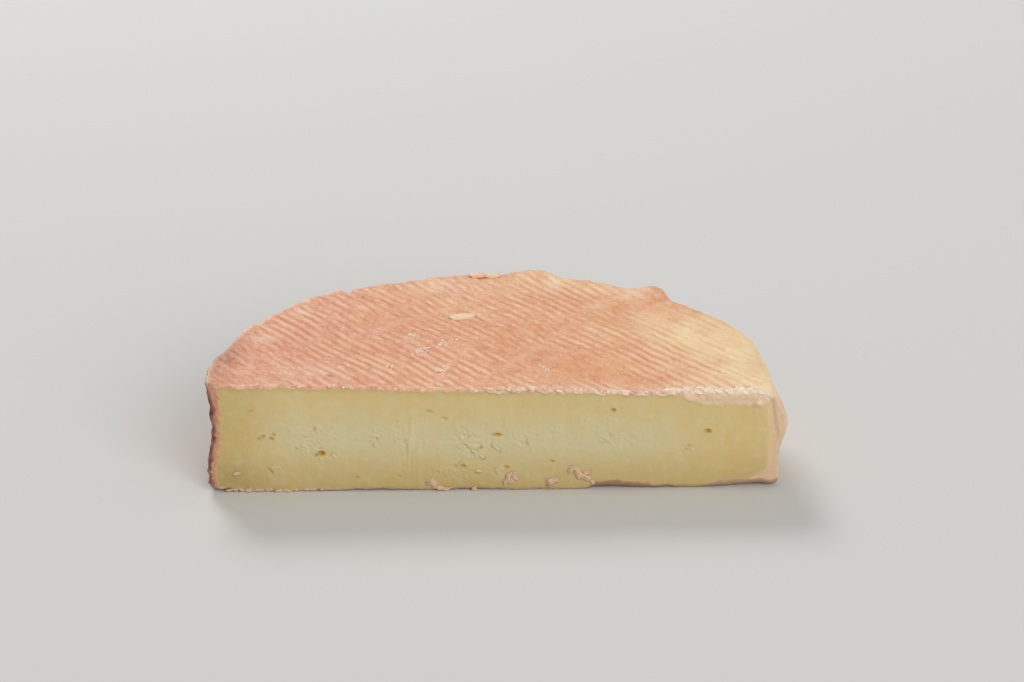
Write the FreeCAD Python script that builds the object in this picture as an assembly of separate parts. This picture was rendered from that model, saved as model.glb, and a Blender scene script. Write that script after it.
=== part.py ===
"""Half of a washed-rind cheese wheel, lying on its flat base with the knife cut facing -Y."""
import FreeCAD, Part
import math
import os
from BOPTools import SplitAPI

NODE = "half_wheel"

# Driving sizes, in millimetres
WHEEL_RADIUS = 90.0
CUT_OFFSET = 8.6            # the knife went in front of the wheel's axis, so the piece is over a half
MID_HEIGHT = 34.8
HEIGHT_FALL = 2.3           # lost from the axis to the right end, and gained to the left end
TOP_MARGIN = 12.0           # rim slices and top skin reach past the finished surface by this much

# Rim: rounded lower edge, slight belly, soft shoulder under the top that is softest at the right end
FOOT_ROUND = 1.6
FOOT_SWING = 0.5            # the share of it that both ends lack
FOOT_SHARE = 0.14           # as a share of the height
SHOULDER_ROUND = 1.9
SHOULDER_SWING = 1.6        # more at the right end, less at the left
SHOULDER_START = 0.80       # as a share of the height
BELLY = 0.6

# Top: a touch higher towards the rim, gently uneven, marked by the ridges of a draining mat
RIM_RISE = 0.3
SWELL = 0.35
SWELL_LENGTH = 61.0
RIDGE_PITCH = 3.4
RIDGE_RELIEF = 0.4          # how far the poles stand above and below the skin
RIDGE_ANGLE = math.radians(-50.2)
RIDGE_FADE = 16.0           # the ridges fade out over this width inside the rim

# Steps between the points that shape the skins
RIM_STEPS = 144
SKIN_STEP = 9.0
BOX_FINENESS = 0.05         # of the mesh that the finished solid is measured with

# Swellings of the rim, each an angle round the axis in degrees (0 at the right end, 180 at the left),
# a share of the height, the reach outwards, the half width, and the half height as a share
RIM_SWELLINGS = (
    (-4.0, 0.66, 4.2, 13.0, 0.26),      # full belly of the right end
    (-4.0, 0.10, 2.0, 15.0, 0.35),      # its wide foot
    (26.0, 0.95, 3.0, 22.0, 0.60),      # squarer outline behind it
    (60.0, 0.95, 2.4, 34.0, 0.60),      # and towards the back
    (54.5, 0.95, 4.2, 5.4, 0.30),       # small knob
    (82.5, 0.90, 4.6, 10.0, 0.40),      # bump at the back
    (112.0, 0.95, -0.9, 12.0, 0.50),    # flatter stretch left of the bump
    (136.0, 1.00, 1.0, 14.0, 0.40),     # shoulder of the back left
    (150.0, 1.00, -1.2, 5.0, 0.40),     # two dips of the left side
    (164.5, 1.00, -1.5, 7.5, 0.40),
    (182.0, 0.60, -2.6, 22.0, 0.36),    # waist of the left end
    (179.0, 1.00, 1.2, 12.0, 0.10),     # its sharp upper corner
    (182.0, 0.18, 0.9, 10.0, 0.10),     # and the roll above its foot
)
# Swellings of the top: x and y from the wheel's axis, the rise, and the half width
TOP_SWELLINGS = (
    (12.5, 90.0, 1.2, 7.0),             # over the bump at the back
    (53.0, 75.0, 1.7, 5.4),             # over the knob
)


def bell(distance, half_width):
    """A smooth hump: one at the middle, about a third at its half width."""
    return math.exp(-(distance / half_width) ** 2)


def wheel_height(x):
    return MID_HEIGHT - HEIGHT_FALL * x / WHEEL_RADIUS


def angle_between(angle, other):
    """The shorter way round between two angles, in degrees."""
    return abs((angle - other + 180.0) % 360.0 - 180.0)


def rim_radius(angle, share):
    """Distance from the axis to the rim at an angle in degrees and a share of the height."""
    turn = math.cos(math.radians(angle))
    foot = FOOT_ROUND * (1.0 - FOOT_SWING * turn ** 2) * max(0.0, 1.0 - share / FOOT_SHARE) ** 2
    past = max(0.0, share - SHOULDER_START) / (1.0 - SHOULDER_START)
    round_here = SHOULDER_ROUND + SHOULDER_SWING * turn
    shoulder = round_here * past ** 3
    belly = BELLY * math.sin(math.pi * min(share, 1.0))
    radius = WHEEL_RADIUS - BELLY + belly - foot - shoulder
    for middle, level, reach, half_width, half_height in RIM_SWELLINGS:
        arc = math.radians(angle_between(angle, middle)) * WHEEL_RADIUS
        radius += reach * bell(arc, half_width) * bell(share - level, half_height)
    return radius


def rim_slice(share):
    """One closed outline of the wheel, at a share of its height that follows the sloping top."""
    points = []
    for step in range(RIM_STEPS):
        angle = -90.0 + 360.0 * step / RIM_STEPS
        radius = rim_radius(angle, share)
        x = radius * math.cos(math.radians(angle))
        y = radius * math.sin(math.radians(angle))
        points.append(FreeCAD.Vector(x, y, share * wheel_height(x)))
    curve = Part.BSplineCurve()
    curve.interpolate(Points=points, PeriodicFlag=True)
    return Part.Wire(curve.toShape())


def rim_body():
    shares = [0.0, 0.05, 0.10, 0.16, 0.30, 0.45, 0.60, 0.70, 0.80, 0.88, 0.95, 1.02, 1.08]
    return Part.makeLoft([rim_slice(share) for share in shares], True, False)


def top_height(x, y):
    outward = math.hypot(x, y) / WHEEL_RADIUS
    height = wheel_height(x) + RIM_RISE * outward ** 4
    height += SWELL * math.sin(2.0 * math.pi * x / SWELL_LENGTH) * math.cos(2.0 * math.pi * y / SWELL_LENGTH)
    for middle_x, middle_y, rise, half_width in TOP_SWELLINGS:
        height += rise * bell(math.hypot(x - middle_x, y - middle_y), half_width)
    return height


def ridge_strength(x, y):
    """Full depth in the middle of the top, fading out inside the rim."""
    inside = (WHEEL_RADIUS - math.hypot(x, y)) / RIDGE_FADE
    return min(1.0, max(0.0, inside))


def skin_pole(along, line):
    """A pole of the top surface: even lines run in the grooves, odd lines over the ridges between them."""
    across = line * RIDGE_PITCH / 2.0
    x = along * math.cos(RIDGE_ANGLE) - across * math.sin(RIDGE_ANGLE)
    y = along * math.sin(RIDGE_ANGLE) + across * math.cos(RIDGE_ANGLE)
    lift = RIDGE_RELIEF if line % 2 else -RIDGE_RELIEF
    return FreeCAD.Vector(x, y, top_height(x, y) + lift * ridge_strength(x, y))


def ridge_strip(ridge):
    """One rounded ridge, from groove to groove."""
    reach = WHEEL_RADIUS + TOP_MARGIN
    steps = int(2.0 * reach / SKIN_STEP)
    poles = []
    for step in range(steps + 1):
        along = -reach + 2.0 * reach * step / steps
        poles.append([skin_pole(along, line) for line in (2 * ridge, 2 * ridge + 1, 2 * ridge + 2)])
    spans = steps - 2
    surface = Part.BSplineSurface()
    surface.buildFromPolesMultsKnots(
        poles,
        [4] + [1] * (spans - 1) + [4],
        [3, 3],
        [float(knot) for knot in range(spans + 1)],
        [0.0, 1.0],
        False, False, 3, 2)
    return surface.toShape()


def top_skin():
    """The top surface: rounded ridges side by side, meeting in sharp grooves."""
    half_count = int((WHEEL_RADIUS + TOP_MARGIN) / RIDGE_PITCH) + 1
    return Part.makeShell([ridge_strip(ridge) for ridge in range(-half_count, half_count)])


def knife_side():
    """The half of the wheel that was taken away."""
    reach = WHEEL_RADIUS + 2.0 * TOP_MARGIN
    corner = FreeCAD.Vector(-reach, -CUT_OFFSET - 2.0 * reach, -TOP_MARGIN)
    return Part.makeBox(2.0 * reach, 2.0 * reach, MID_HEIGHT + 4.0 * TOP_MARGIN, corner)


def half_wheel():
    """The wheel up to its top skin, less the half beyond the knife."""
    blank = rim_body().cut(knife_side())
    pieces = SplitAPI.slice(blank, [top_skin()], "Split").Solids
    return min(pieces, key=lambda solid: solid.CenterOfMass.z)


def stand_on_origin(piece):
    """Put the middle of the piece's base rectangle at the origin."""
    points = piece.tessellate(BOX_FINENESS)[0]
    left, right = min(point.x for point in points), max(point.x for point in points)
    front, back = min(point.y for point in points), max(point.y for point in points)
    base = min(point.z for point in points)
    piece.translate(FreeCAD.Vector(-0.5 * (left + right), -0.5 * (front + back), -base))
    return piece


os.makedirs("parts", exist_ok=True)
piece = stand_on_origin(half_wheel())
piece.exportStep("parts/" + NODE + ".step")
print(NODE, "valid", piece.isValid(), "volume ml", round(piece.Volume / 1000.0, 1))
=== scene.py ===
"""Half of a washed-rind cheese wheel: a ridged pink rind wrapped round pale yellow paste."""
import functools
import math
import random

import bmesh
import bpy
import numpy as np
from mathutils import Matrix, Vector, noise
from mathutils.geometry import delaunay_2d_cdt


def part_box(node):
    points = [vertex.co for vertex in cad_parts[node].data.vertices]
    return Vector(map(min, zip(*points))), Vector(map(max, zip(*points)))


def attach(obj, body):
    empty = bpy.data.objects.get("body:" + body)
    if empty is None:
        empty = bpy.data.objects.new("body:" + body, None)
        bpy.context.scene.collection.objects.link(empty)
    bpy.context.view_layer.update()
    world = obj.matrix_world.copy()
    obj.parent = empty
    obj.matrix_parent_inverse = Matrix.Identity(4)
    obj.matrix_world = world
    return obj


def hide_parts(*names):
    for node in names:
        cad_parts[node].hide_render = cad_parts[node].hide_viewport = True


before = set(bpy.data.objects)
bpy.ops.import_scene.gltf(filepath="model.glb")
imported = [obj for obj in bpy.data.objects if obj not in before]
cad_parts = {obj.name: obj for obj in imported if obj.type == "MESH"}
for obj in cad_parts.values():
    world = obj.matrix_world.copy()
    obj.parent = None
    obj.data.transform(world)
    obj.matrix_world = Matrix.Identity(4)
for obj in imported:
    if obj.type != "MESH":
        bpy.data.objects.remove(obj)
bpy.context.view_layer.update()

# ---- sizes, in millimetres
# x runs along the cut from the wheel's axis, y runs back from the cut, z runs up from the base.
MM = 0.001
WHEEL_RADIUS = 90.0
CUT_OFFSET = 8.6            # the cut lies this far in front of the wheel's axis
MID_HEIGHT = 34.8
HEIGHT_FALL = 2.3
BELLY = 0.6
FOOT_ROUND = 1.6
FOOT_SWING = 0.5
SHOULDER_ROUND = 2.0
SHOULDER_SWING = 1.1
RIM_RISE = 0.3
SWELL = 0.35
SWELL_LENGTH = 61.0
RIND_SKIN = 0.7             # thickness of the rind piece where it meets the cut
RIND_DEEP = 2.8             # thickness of the rind piece behind the cut

# Swellings of the rim: angle round the axis, share of height, reach, half width, half height
RIM_SWELLINGS = (
    (-4, 0.66, 4.2, 13, 0.26),   # full belly of the right end
    (-4, 0.1, 2, 15, 0.35),      # its wide foot
    (26, 0.95, 3, 22, 0.6),      # squarer outline behind it
    (60, 0.95, 2.4, 34, 0.6),    # and towards the back
    (54.5, 0.95, 4.2, 5.4, 0.3), # small knob
    (82.5, 0.9, 4.6, 10, 0.4),   # bump at the back
    (112, 0.95, -0.9, 12, 0.5),  # flatter stretch left of the bump
    (136, 1, 1, 14, 0.4),        # shoulder of the back left
    (150, 1, -1.2, 5, 0.4),      # two dips of the left side
    (164.5, 1, -1.5, 7.5, 0.4),
    (182, 0.6, -2.6, 22, 0.36),  # waist of the left end
    (179, 1, 1.2, 12, 0.1),      # its sharp upper corner
    (182, 0.18, 0.9, 10, 0.1),   # and the roll above its foot
)
# Swellings of the top: x and y from the wheel's axis, rise, half width
TOP_SWELLINGS = (
    (12.5, 90, 1.2, 7),          # over the bump at the back
    (53, 75, 1.7, 5.4),          # over the knob
)

NOTCH_ANGLE = 124.4         # a nick in the upper edge of the rim, in degrees round the axis
# the bead's glint is painted: a white lump, and a pale halo round it on the cut
DROP = (85.1, 29.6)         # a wet bead on the cut: x and z

TORN_FROM = -6.0            # right of this x the upper edge of the cut is torn into many crumbs
LUMPS_FROM = 56.0           # and right of this one they are large, white and wet
GLOW = 0.40                 # share of the light that goes inside the cheese
GRAIN_HEIGHT = 0.19

# Light: place, size and power, in metres and watts. Camera: spot in millimetres, and turns in degrees
WORLD_LIGHT = 0.42
KEY = ((-0.608, 1.52, 1.44), 0.8, 22.0)
FILL = ((1.375, -2.5, 1.5), 2.25, 58.0)
LIT_SPOT = (0.0, 0.0, 0.02)
CAMERA_SPOT = (40.5, -919.6, 436.7)
CAMERA_TURNS = (22.72, -2.02, -1.34)
LENS = 112.5

# Mat ridges on the top and the base
RIDGE_PITCH = 3.5
RIDGE_ANGLE = math.radians(-50.2)
RIDGE_DEPTH = 0.28
RIDGE_WANDER = 0.6          # how far the ridges stray from straight lines
SHADE_SHIFT = 0.10          # how far the reddest line lies from the bottom of a groove

# Seams of the mat, where there are no ridges: from and to, each along and across the ridges,
# half width, and how much of the ridge is lost
STRIPES = (
    (-62, 40, -61, -4, 1.7, 0.8), (-27, 57, -18.1, 38.2, 1.3, 0.7), (-18.1, 38.2, -11.7, 17.1, 1.3, 0.9),
    (-11.7, 17.1, -5, 1, 1.3, 0.9), (-35.2, 25.2, -31.9, 17.1, 1.4, 0.8), (-31.9, 17.1, -23, 2.6, 1.3, 1),
    (-23, 2.6, -14.9, -10.4, 1.3, 1), (-74.9, 30.1, -69.2, 18.8, 1.2, 0.9), (-43.4, 19, -42.4, 4, 1.1, 0.6),
    (-34, 85, -31, 50, 1.6, 0.7), (22, 61, 22, 42, 1.6, 0.6), (-80, -2, -62, -24, 1.4, 0.7),
)
# Areas of the top with deeper or fainter ridges: along, across, half length, half width, gain
RIDGE_AREAS = (
    (-22, 0, 10, 15, 1), (-50, -14, 14, 10, 0.55), (-80, -14, 14, 12, 0.8),
    (-36, -26, 10, 8, 0.4), (6, 60, 22, 8, 0.55), (-50, 70, 14, 8, 0.35),
    (-74, 23, 12, 9, 0.2), (-65, 4, 9, 8, -0.45), (-8, 26, 14, 11, -0.5),
    (8, 36, 16, 9, -0.6), (30, 84, 40, 13, -0.55), (-55, -50, 16, 18, -0.35),
    (-20, 84, 14, 8, -0.5),
)

# Marks on the cut: x, z, half length, half width, tilt in degrees, depth, strength of the ochre stain
HOLES = (
    (-75, 28.3, 1, 0.4, 25, 0.5, 0.5), (-72.9, 18.5, 0.8, 0.4, 10, 0.8, 0.8),
    (-71.6, 19.4, 1, 0.45, 25, 0.8, 0.9), (-68.2, 20, 0.7, 0.4, 0, 0.7, 0.8),
    (-68.8, 18.7, 0.7, 0.55, 0, 0.9, 1), (-53.2, 13.4, 1.2, 0.85, 0, 1.5, 1.3),
    (-54.9, 12.7, 0.8, 0.45, 30, 0.9, 1), (-53.4, 15.3, 0.5, 0.35, 0, 0.4, 0.4),
    (-18.5, 27.6, 1.2, 0.4, -15, 0.6, 0.6), (-13.9, 25.2, 1.2, 0.35, -12, 0.5, 0.7),
    (2.6, 19.4, 1.6, 0.5, 0, 1, 1.1), (39.5, 27.5, 0.7, 0.65, 0, 1, 1.2),
    (69.1, 20, 1.1, 0.7, 0, 1.2, 1.2), (63, 14.9, 0.9, 0.45, 0, 0.5, 0.4),
    (19.9, 10, 0.65, 0.45, 0, 0.7, 0.8), (5.4, 8.1, 0.75, 0.55, 0, 0.8, 0.9),
    (-8.3, 8.5, 0.9, 0.6, 0, 0.9, 0.9), (-10.8, 8.6, 0.6, 0.5, 0, 0.4, 0.5),
    (-3.9, 6.1, 1.1, 0.4, 0, 0.5, 0.6), (-16.5, 6.7, 0.5, 0.4, 0, 0.4, 0.5),
    (-2.8, 14.8, 1, 0.38, 40, 0.8, 0.8), (-7.2, 15.5, 1.1, 0.3, -50, 0.5, 0.5),
    (-42.2, 4.7, 0.65, 0.4, 20, 0.6, 0.8), (-28.9, 5.3, 0.6, 0.4, 0, 0.4, 0.5),
    (-80.5, 7.2, 0.6, 0.6, 0, 0.4, 0.3), (-69.8, 7.4, 1.9, 0.6, -60, 0.5, 0.4),
    (-35.4, 18.3, 0.5, 0.4, 0, 0.5, 0.4), (12, 15.9, 0.5, 0.4, 0, 0.5, 0.4),
)
# Torn, chalky places of the cut: x, z, half length, half height, roughness
TEARS = (
    (-62.2, 21.2, 2.2, 1, 1), (-54.6, 22, 2, 1.6, 1), (-57.6, 19.3, 1.6, 1.8, 0.9),
    (-59.8, 15.2, 2.4, 1.2, 0.9), (-55.5, 15.5, 2.6, 2.6, 0.6), (-36, 18.5, 2, 3.6, 0.7),
    (-27.5, 17.5, 2, 3.4, 0.5), (-8, 18, 3, 3, 0.9), (-4.5, 13.5, 3, 2.6, 1),
    (-16.5, 24, 4, 0.8, 0.4), (11, 17, 3.6, 2.4, 0.5), (20.5, 20.5, 2.6, 2.4, 0.4),
    (38, 18.5, 4, 3, 0.5), (62.8, 14, 2.4, 1.4, 0.6), (-68, 8.4, 2.2, 1.2, 0.8),
    (-12.5, 6, 6, 2, 0.5), (2, 6.5, 3, 1.6, 0.4), (32, 24, 6, 2, 0.3),
)
# Dark pits and pale, scurfy patches of the top: x, y, half length, half width, strength
TOP_PITS = (
    (-50, 9, 1.1, 0.6, 0.9), (-37.6, 15.5, 0.9, 0.6, 0.6), (-74, 52, 1, 0.8, 0.5),
    (-83, 20, 1.2, 0.8, 0.4),
)
TOP_PATCHES = (
    (-74.5, 38, 4, 3.2, 0.5), (-64, 62, 3.4, 2.6, 0.35), (-57, 14, 9, 5, 0.2),
    (-26, 42.5, 1.6, 2, 0.5), (-22.2, 29.5, 2.2, 2.2, 0.5), (-15.5, 36.6, 1.8, 1.6, 0.5),
    (-14.5, 17, 1.6, 1.4, 0.4), (19, 92, 3, 8, 0.4), (47, 84, 9, 5, 0.3),
)
# Darker places near the rim, painted shade where the top rounds off towards it: x, y, half length, half
# width, strength
RIM_PAINTED_SHADE = ((-86, 26, 7, 10, 0.26), (87, 25, 6, 10, 0.18), (74, 56, 6, 8, 0.07))
# Broad tones of the rind: ovals as above, then the strength, size and seed of the noise in them
TONES = {
    "cream": (((86, 36, 26, 39, 0.95), (58, 52, 17, 17, 0.55), (90, 4, 18, 18, 0.8),
               (20, 95, 12, 12, 0.45), (38, 84, 10, 10, 0.5)), 0.22, 9, 31),
    "orange": (((44, 20, 25, 18, 0.8), (30, 52, 20, 15, 0.9)), 0.3, 8, 33),
    "ruddy": (((-42, 40, 44, 27, 0.95), (-87, 18, 10, 22, 1), (56.5, 77, 2.2, 2.2, 1.3),
               (60.5, 71, 2.4, 2.4, 1), (66.5, 66, 2, 2, 1)), 0.3, 5, 35),
}

# Spacing of mesh points
EDGE_STEP = 0.42
RIM_STEP = 0.47
RIM_ROW = 0.9
TOP_ACROSS = 0.425
TOP_ALONG = 0.86
FACE_STEP = 0.36
BASE_ACROSS = 0.95
BASE_ALONG = 2.6
SKIN_BENDS = (0, 2, 6, 12, 20, 30, 42, 54, 66, 76, 84)      # degrees round the hidden skin of the paste


# ---- form of the half wheel
def unit(value):
    """A value kept between nought and one."""
    return np.clip(value, 0.0, 1.0)


def peak(*values):
    """The largest of several values, point by point."""
    return functools.reduce(np.maximum, values)


def least(*values):
    """The smallest of several values, point by point."""
    return functools.reduce(np.minimum, values)


def bell(distance, half_width):
    """A smooth hump: one at the middle, about a third at its half width."""
    return np.exp(-(np.asarray(distance) / half_width) ** 2)


def smooth(value, low, high):
    """Nought below low, one above high, and a soft step between them."""
    share = unit((np.asarray(value) - low) / (high - low))
    return share * share * (3.0 - 2.0 * share)


def fall(value, low, high):
    """One below low, nought above high, and a soft step between them."""
    return 1.0 - smooth(value, low, high)


def oval(x, y, mark):
    """A soft oval mark, given by its middle, its two half sizes, and its strength."""
    middle_x, middle_y, half_x, half_y, strength = mark
    return strength * bell(np.hypot((x - middle_x) / half_x, (y - middle_y) / half_y), 1.0)


def turned(u, v, angle):
    """Two coordinates after a turn by an angle in radians."""
    return u * math.cos(angle) - v * math.sin(angle), u * math.sin(angle) + v * math.cos(angle)


def angle_at(x, y):
    """Angle round the wheel's axis in radians, from a quarter turn below nought upwards."""
    angle = np.arctan2(y - CUT_OFFSET, x)
    return np.where(angle < -0.5 * math.pi, angle + 2.0 * math.pi, angle)


def top_height(x, y):
    outward = np.hypot(x, y - CUT_OFFSET) / WHEEL_RADIUS
    height = MID_HEIGHT - HEIGHT_FALL * x / WHEEL_RADIUS + RIM_RISE * outward ** 4
    wave_x = np.sin(2.0 * math.pi * x / SWELL_LENGTH)
    wave_y = np.cos(2.0 * math.pi * (y - CUT_OFFSET) / SWELL_LENGTH)
    height = height + SWELL * wave_x * wave_y
    for middle_x, middle_y, rise, half_width in TOP_SWELLINGS:
        away = np.hypot(x - middle_x, y - CUT_OFFSET - middle_y)
        height = height + rise * bell(away, half_width)
    return height


def rim_radius(angle, share):
    """Reach of the rim from the axis, before its edges are rounded, at an angle in radians."""
    radius = WHEEL_RADIUS - BELLY + BELLY * np.sin(math.pi * np.clip(share, 0.0, 1.0))
    for middle, level, reach, half_width, half_height in RIM_SWELLINGS:
        turn = np.degrees(angle) - middle
        arc = np.radians((turn + 180.0) % 360.0 - 180.0) * WHEEL_RADIUS
        radius = radius + reach * bell(arc, half_width) * bell(share - level, half_height)
    return radius


def rim_profile(angle):
    """Radius and height of the rim from the foot to the top, one row for each step up."""
    foot = FOOT_ROUND * (1.0 - FOOT_SWING * np.cos(angle) ** 2)
    corner = SHOULDER_ROUND + SHOULDER_SWING * np.cos(angle)
    ring = rim_radius(angle, 1.0) - corner
    height = top_height(ring * np.cos(angle), ring * np.sin(angle) + CUT_OFFSET)
    levels, insets = [], []
    foot_rows, corner_rows = 3, 6
    for row in range(foot_rows):
        bend = 0.5 * math.pi * row / foot_rows
        levels.append(foot * (1.0 - math.cos(bend)))
        insets.append(foot * (1.0 - math.sin(bend)))
    side_rows = int(MID_HEIGHT / RIM_ROW)
    for row in range(side_rows + 1):
        levels.append(foot + (height - corner - foot) * row / side_rows)
        insets.append(np.zeros_like(foot))
    for row in range(1, corner_rows + 1):
        bend = 0.5 * math.pi * row / corner_rows
        levels.append(height - corner * (1.0 - math.sin(bend)))
        insets.append(corner * (1.0 - math.cos(bend)))
    level = np.array(levels)
    return rim_radius(angle, level / height) - np.array(insets), level


def end_angles(side):
    """For each row, the angle at which the rim meets the cut: side is 1 at the right, -1 at the left."""
    angle = np.zeros(len(rim_profile(np.zeros(1))[0]))
    for _ in range(6):
        toward = angle if side > 0 else math.pi - angle
        angle = -np.arcsin(CUT_OFFSET / np.diagonal(rim_profile(toward)[0]))
    return angle if side > 0 else math.pi - angle


def rim_strip():
    """Points of the rim: rows from the foot to the top, columns from the right end to the left."""
    right, left = end_angles(1), end_angles(-1)
    columns = int(math.pi * WHEEL_RADIUS / RIM_STEP)
    share = np.linspace(0.0, 1.0, columns + 1)
    strip = np.zeros((len(right), columns + 1, 3))
    for row in range(len(right)):
        angle = right[row] + (left[row] - right[row]) * share
        radius, level = rim_profile(angle)
        strip[row, :, 0] = radius[row] * np.cos(angle)
        strip[row, :, 1] = radius[row] * np.sin(angle) + CUT_OFFSET
        strip[row, :, 2] = level[row]
    strip[:, 0, 1] = 0.0
    strip[:, -1, 1] = 0.0
    return strip


def evenly(start, end, step):
    """Numbers from start to end, about a step apart."""
    return np.linspace(start, end, int(abs(end - start) / step) + 1)


def lattice(low, high, step_u, step_v):
    """Every point of a flat lattice, as two long rows of numbers."""
    u, v = np.meshgrid(evenly(low, high, step_u), evenly(low, high, step_v))
    return u.ravel(), v.ravel()


def inside_outline(outline, x, y):
    """Whether points lie inside a closed flat outline."""
    crossed = np.zeros(len(x), dtype=bool)
    for (from_x, from_y), (to_x, to_y) in zip(outline, np.roll(outline, -1, axis=0)):
        if from_y != to_y:
            meets = (from_y > y) != (to_y > y)
            crossed ^= meets & (x < from_x + (y - from_y) * (to_x - from_x) / (to_y - from_y))
    return crossed


def fill(outline, inner):
    """Triangles between the points of a flat outline and the points inside it."""
    points = np.vstack([outline, inner])
    count = len(outline)
    edges = [(i, (i + 1) % count) for i in range(count)]
    made = delaunay_2d_cdt([Vector(p) for p in points], edges, [], 0, 1e-7, True)
    origin = [ids[0] for ids in made[3]]
    faces = np.array([[origin[corner] for corner in face] for face in made[2]])
    middle = points[faces].mean(axis=1)
    kept = np.ones(len(faces), dtype=bool)
    on_edge = (faces < count).all(axis=1)
    kept[on_edge] = inside_outline(outline, middle[on_edge, 0], middle[on_edge, 1])
    return points, faces[kept]


def disc_points(ring, across, along, margin):
    """Lattice points inside a ring of the rim and behind the cut, in line with the mat ridges."""
    a, b = lattice(-2.0 * WHEEL_RADIUS, 2.0 * WHEEL_RADIUS, along, across)
    x, y = turned(a, b, RIDGE_ANGLE)
    limit = ring_distance(ring, x, y)
    keep = (limit > margin) & (y > margin)
    return np.column_stack([x[keep], y[keep]])


def cap(ring, edge, across, along):
    """The flat mesh inside a ring of the rim and a straight edge along the cut."""
    line = np.column_stack([edge, np.zeros_like(edge)])
    return fill(np.vstack([ring, line]), disc_points(ring, across, along, 0.6 * across))


def ring_distance(ring, x, y):
    """How far a point lies inside a ring of the rim."""
    ring_angle = np.unwrap(np.arctan2(ring[:, 1] - CUT_OFFSET, ring[:, 0]))
    ring_reach = np.hypot(ring[:, 0], ring[:, 1] - CUT_OFFSET)
    return np.interp(angle_at(x, y), ring_angle, ring_reach) - np.hypot(x, y - CUT_OFFSET)


class Body:
    """The points of the whole cheese, and the faces of its patches, joined where they meet."""

    def __init__(self):
        self.points = np.zeros((0, 3))
        self.faces = {}

    def add(self, name, points, faces):
        start = len(self.points)
        self.points = np.vstack([self.points, points])
        self.faces[name] = np.asarray(faces) + start

    def join(self):
        """Make points that lie in one place one point."""
        keys = np.round(self.points, 5) + 0.0
        _, first, where = np.unique(keys, axis=0, return_index=True, return_inverse=True)
        where = where.ravel()
        self.points = self.points[first]
        for name in self.faces:
            self.faces[name] = where[self.faces[name]]

    def on(self, *names):
        """One at the points that belong to any of these patches, nought elsewhere."""
        mask = np.zeros(len(self.points))
        for name in names:
            mask[self.faces[name].ravel()] = 1.0
        return mask

    def normals(self, *names):
        total = np.zeros((len(self.points), 3))
        for name in names:
            faces = self.faces[name]
            corner = self.points[faces]
            area = np.cross(corner[:, 1] - corner[:, 0], corner[:, 2] - corner[:, 0])
            if faces.shape[1] == 4:
                area = area + np.cross(corner[:, 2] - corner[:, 0], corner[:, 3] - corner[:, 0])
            for column in range(faces.shape[1]):
                np.add.at(total, faces[:, column], area)
        length = np.linalg.norm(total, axis=1, keepdims=True)
        return total / np.maximum(length, 1e-9)


def grid_faces(rows, columns):
    """Quads between the points of a grid that is stored row by row."""
    corner = (np.arange(rows - 1)[:, None] * columns + np.arange(columns - 1)[None, :]).ravel()
    return np.column_stack([corner, corner + 1, corner + columns + 1, corner + columns])


def loop_faces(rows, count):
    """Quads between closed loops of points, stored loop by loop."""
    corner = np.arange(count)
    following = (corner + 1) % count
    loops = [np.column_stack([corner, following, following + count, corner + count]) + row * count
             for row in range(rows - 1)]
    return np.vstack(loops)


def build_body():
    body = Body()
    strip = rim_strip()
    rows, columns = strip.shape[:2]
    body.add("rim", strip.reshape(-1, 3), grid_faces(rows, columns))

    # top and base: each is bounded by a ring of the rim and a straight edge along the cut
    top_ring, base_ring = strip[-1, :, :2], strip[0, :, :2]
    top_edge = evenly(top_ring[-1, 0], top_ring[0, 0], EDGE_STEP)[1:-1]
    base_edge = evenly(base_ring[-1, 0], base_ring[0, 0], EDGE_STEP)[1:-1]
    flat, faces = cap(top_ring, top_edge, TOP_ACROSS, TOP_ALONG)
    height = top_height(flat[:, 0], flat[:, 1])
    height[:columns] = strip[-1, :, 2]
    body.add("top", np.column_stack([flat, height]), faces)
    flat, faces = cap(base_ring, base_edge, BASE_ACROSS, BASE_ALONG)
    body.add("base", np.column_stack([flat, np.zeros(len(flat))]), faces[:, ::-1])

    # the cut: a narrow band of rind round the paste
    top_front = np.column_stack([top_edge, top_height(top_edge, np.zeros_like(top_edge))])
    base_front = np.column_stack([base_edge, np.zeros_like(base_edge)])
    right_side, left_side = strip[:, 0, ::2], strip[:, -1, ::2]
    outline = np.vstack([base_front, right_side, top_front[::-1], left_side[::-1]])
    ahead, behind = np.roll(outline, -1, axis=0), np.roll(outline, 1, axis=0)
    way = ahead - behind
    way /= np.linalg.norm(way, axis=1, keepdims=True)
    paste_line = outline + RIND_SKIN * np.column_stack([-way[:, 1], way[:, 0]])
    count = len(outline)
    band = np.vstack([outline, paste_line])
    band = np.column_stack([band[:, 0], np.zeros(2 * count), band[:, 1]])
    body.add("band", band, loop_faces(2, count))
    x, z = lattice(-2.0 * WHEEL_RADIUS, 2.0 * WHEEL_RADIUS, FACE_STEP, FACE_STEP)
    keep = cut_distance(strip, x, z) > RIND_SKIN + 0.6 * FACE_STEP
    flat, faces = fill(paste_line, np.column_stack([x[keep], z[keep]]))
    body.add("paste", np.column_stack([flat[:, 0], np.zeros(len(flat)), flat[:, 1]]), faces)

    # the hidden skin between the rind and the paste
    loops = [paste_line_at(paste_line, math.radians(bend)) for bend in SKIN_BENDS]
    body.add("skin", np.vstack(loops), loop_faces(len(loops), count))
    last = loops[-1]
    flat, faces = fill(last[:, ::2], np.zeros((0, 2)))
    body.add("skin_end", last, faces)
    body.join()
    return body, strip


def paste_line_at(paste_line, bend):
    """The outline of the paste behind the cut, where the inner wheel has turned by an angle."""
    behind = RIND_DEEP - RIND_SKIN if bend else 0.0
    middle = 0.5 * MID_HEIGHT
    x = paste_line[:, 0] * math.cos(bend) * (1.0 - behind / WHEEL_RADIUS)
    y = (WHEEL_RADIUS - RIND_DEEP) * math.sin(bend)
    z = middle + (paste_line[:, 1] - middle) * (1.0 - behind / middle)
    return np.column_stack([x, np.full(len(x), y), z])


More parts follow.
